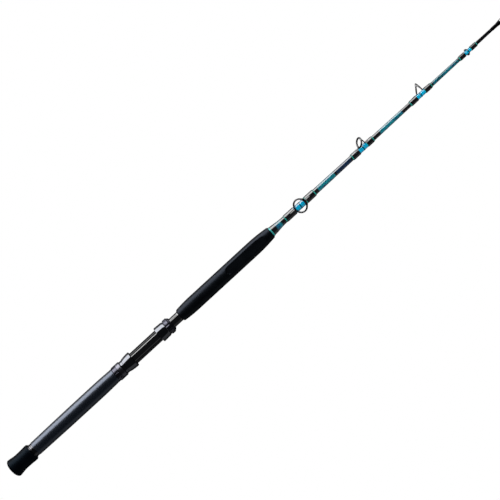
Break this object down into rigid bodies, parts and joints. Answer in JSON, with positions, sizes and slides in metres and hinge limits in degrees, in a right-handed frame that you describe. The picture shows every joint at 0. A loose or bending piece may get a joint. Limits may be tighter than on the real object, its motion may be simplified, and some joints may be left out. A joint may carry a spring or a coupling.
{
  "type": "fishing rod",
  "caption": "Boat fishing rod with a capped gimbal butt, union nut, reel seat with a screw-locked hood, foam grips and spiral-wrapped line guides.",
  "frame": {"origin": "centre of the top of the reel-foot pad, between the two hoods", "axes": "+X along the rod to the tip, +Z away from the seat towards the reel"},
  "size_m": [1.3695, 0.0451, 0.0477],
  "materials": {
    "cap_rubber": "matte",
    "black_aluminium": "glossy black anodised",
    "gunmetal": "polished gunmetal anodised",
    "satin_gunmetal": "satin gunmetal anodised",
    "plain_aluminium": "turned",
    "steel": "ground",
    "grip_skin": "satin shrink tube",
    "foam": "closed-cell foam",
    "seat_plastic": "glossy black",
    "pad_plastic": "satin",
    "liner_plastic": "matte",
    "arbor_foam": "matte",
    "blank_gloss": "clear-coated black",
    "teal_aluminium": "anodised teal",
    "cone_gloss": "clear-coated black",
    "guide_steel": "dark chrome",
    "ceramic": "polished black ceramic",
    "blue_thread": "clear-coated blue thread",
    "black_thread": "clear-coated black thread",
    "teal_thread": "clear-coated teal thread",
    "dark_thread": "clear-coated dark thread"
  },
  "bodies": {
    "rod": {"seat_barrel": "seat_plastic", "reel_foot_pad": "pad_plastic", "fixed_hood": "gunmetal", "fixed_hood_liner": "liner_plastic", "blank": "blank_gloss", "seat_arbor_rear": "arbor_foam", "seat_arbor_front": "arbor_foam", "foregrip": "foam", "winding_check": "teal_aluminium", "front_cone": "cone_gloss", "tip_tube": "guide_steel", "tip_frame": "guide_steel", "tip_ring": "ceramic", "guide_1_frame": "guide_steel", "guide_1_ring": "ceramic", "guide_1_underwrap": "blue_thread", "guide_1_butt_wrap": "black_thread", "guide_1_tip_wrap": "black_thread", "guide_1_trim": "teal_thread", "guide_1_band": "dark_thread", "guide_2_frame": "guide_steel", "guide_2_ring": "ceramic", "guide_2_underwrap": "blue_thread", "guide_2_butt_wrap": "black_thread", "guide_2_tip_wrap": "black_thread", "guide_2_trim": "teal_thread", "guide_2_band": "dark_thread", "guide_3_frame": "guide_steel", "guide_3_ring": "ceramic", "guide_3_underwrap": "blue_thread", "guide_3_butt_wrap": "black_thread", "guide_3_tip_wrap": "black_thread", "guide_3_trim": "teal_thread", "guide_3_band": "dark_thread", "guide_4_frame": "guide_steel", "guide_4_ring": "ceramic", "guide_4_underwrap": "blue_thread", "guide_4_butt_wrap": "black_thread", "guide_4_tip_wrap": "black_thread", "guide_4_trim": "teal_thread", "guide_4_band": "dark_thread"},
    "butt": {"gimbal": "black_aluminium", "butt_tube": "plain_aluminium", "rear_grip_core": "foam", "rear_grip_sleeve": "grip_skin", "butt_ferrule": "plain_aluminium", "ferrule_pin": "steel"},
    "cap": {"butt_cap": "cap_rubber"},
    "union_nut": {"butt_nut": "satin_gunmetal"},
    "hood": {"moving_hood": "gunmetal", "moving_hood_liner": "liner_plastic", "lock_washer": "liner_plastic"},
    "locking_nut": {"lock_nut": "satin_gunmetal"}
  },
  "joints": [
    {"name": "butt_slide", "type": "slide", "parent": "rod", "child": "butt", "axis": [-1, 0, 0], "range_m": [0, 0.06]},
    {"name": "union_nut_spin", "type": "hinge", "parent": "butt", "child": "union_nut", "pos_m": [-0.0724, 0, -0.0111], "axis": [1, 0, 0], "continuous": true},
    {"name": "cap_slide", "type": "slide", "parent": "butt", "child": "cap", "axis": [-1, 0, 0], "range_m": [0, 0.065]},
    {"name": "hood_slide", "type": "slide", "parent": "rod", "child": "hood", "axis": [1, 0, 0], "range_m": [-0.012, 0.018]},
    {"name": "lock_nut_spin", "type": "hinge", "parent": "hood", "child": "locking_nut", "pos_m": [0.0656, 0, -0.0111], "axis": [1, 0, 0], "range_deg": [-2160, 3240]}
  ],
  "couplings": [
    {"joint": "hood_slide", "follows": "lock_nut_spin", "m_per_rad": 0.00031831}
  ]
}
